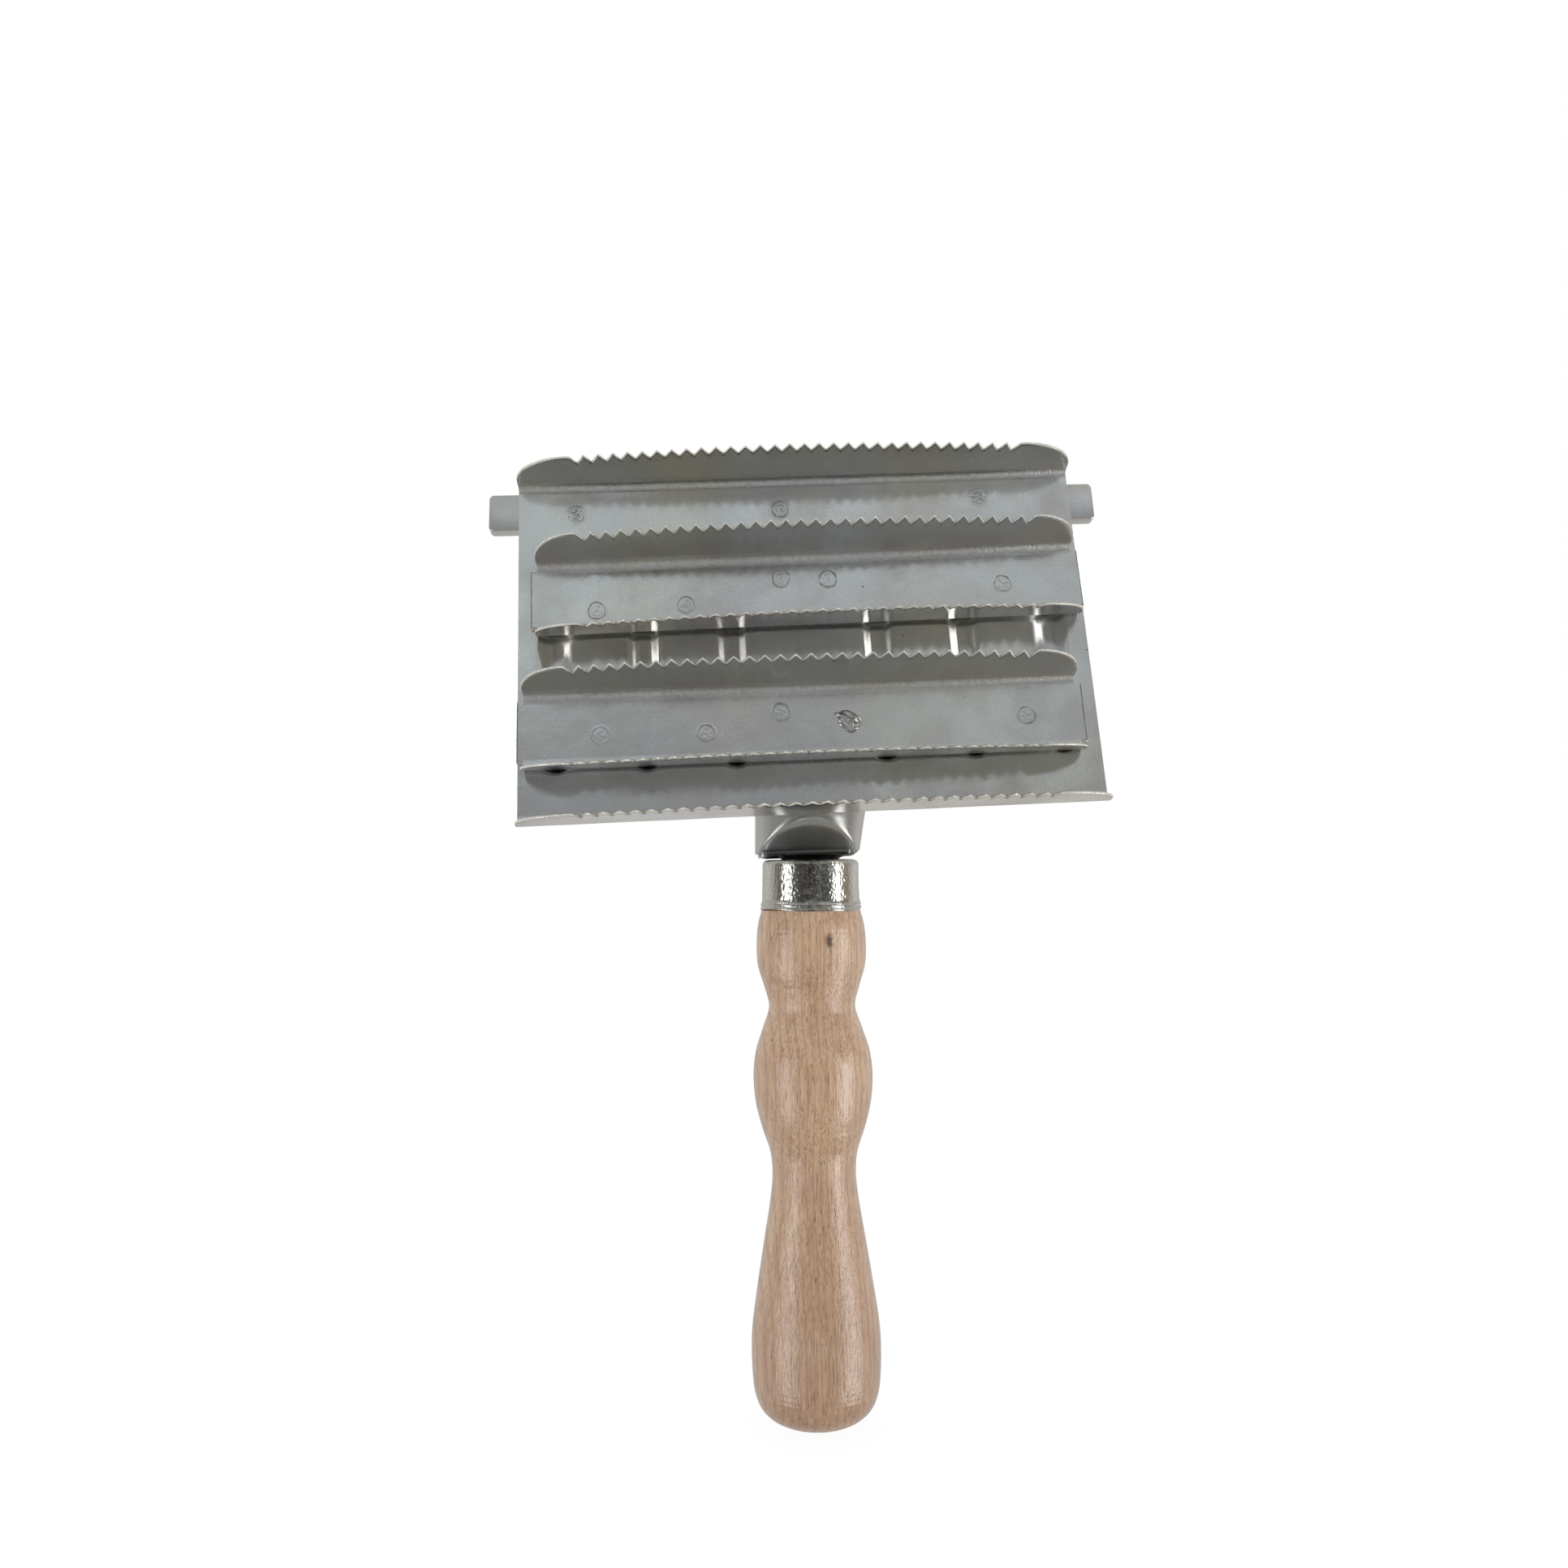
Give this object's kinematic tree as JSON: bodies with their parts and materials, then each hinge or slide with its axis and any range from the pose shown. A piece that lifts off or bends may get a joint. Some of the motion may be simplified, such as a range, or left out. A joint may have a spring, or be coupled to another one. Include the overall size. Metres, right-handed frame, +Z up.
{
  "type": "curry comb",
  "caption": "Hand curry comb: a folded sheet-steel head with toothed scraping rows and a knocking bar, held by a steel neck and ferrule on a turned wooden handle.",
  "frame": {"origin": "on the handle's axis, at the top face of the ferrule", "axes": "+Z up the handle's axis towards the head, +X to the right across the comb, teeth towards -Y"},
  "size_m": [0.1455, 0.0367, 0.2206],
  "materials": {
    "zinc_sheet": "satin zinc plate",
    "zinc_bar": "satin zinc plate",
    "zinc_bracket": "bright zinc plate",
    "ferrule_steel": "bright, faintly orange-peeled",
    "weld_mark": "dull, heat marked",
    "weld_bead": "rough",
    "plain_steel": "bare",
    "lacquered_wood": "clear lacquer"
  },
  "bodies": {
    "root": {"back_plate": "zinc_sheet", "upper_tooth_channel": "zinc_sheet", "lower_tooth_channel": "zinc_sheet", "knocker_bar": "zinc_bar", "knocker_spot_welds": "weld_mark", "upper_channel_spot_welds": "weld_mark", "lower_channel_spot_welds": "weld_mark", "plug_weld": "weld_bead", "handle_bracket": "zinc_bracket", "handle_tang": "plain_steel", "ferrule": "ferrule_steel", "wood_handle": "lacquered_wood"}
  },
  "joints": []
}
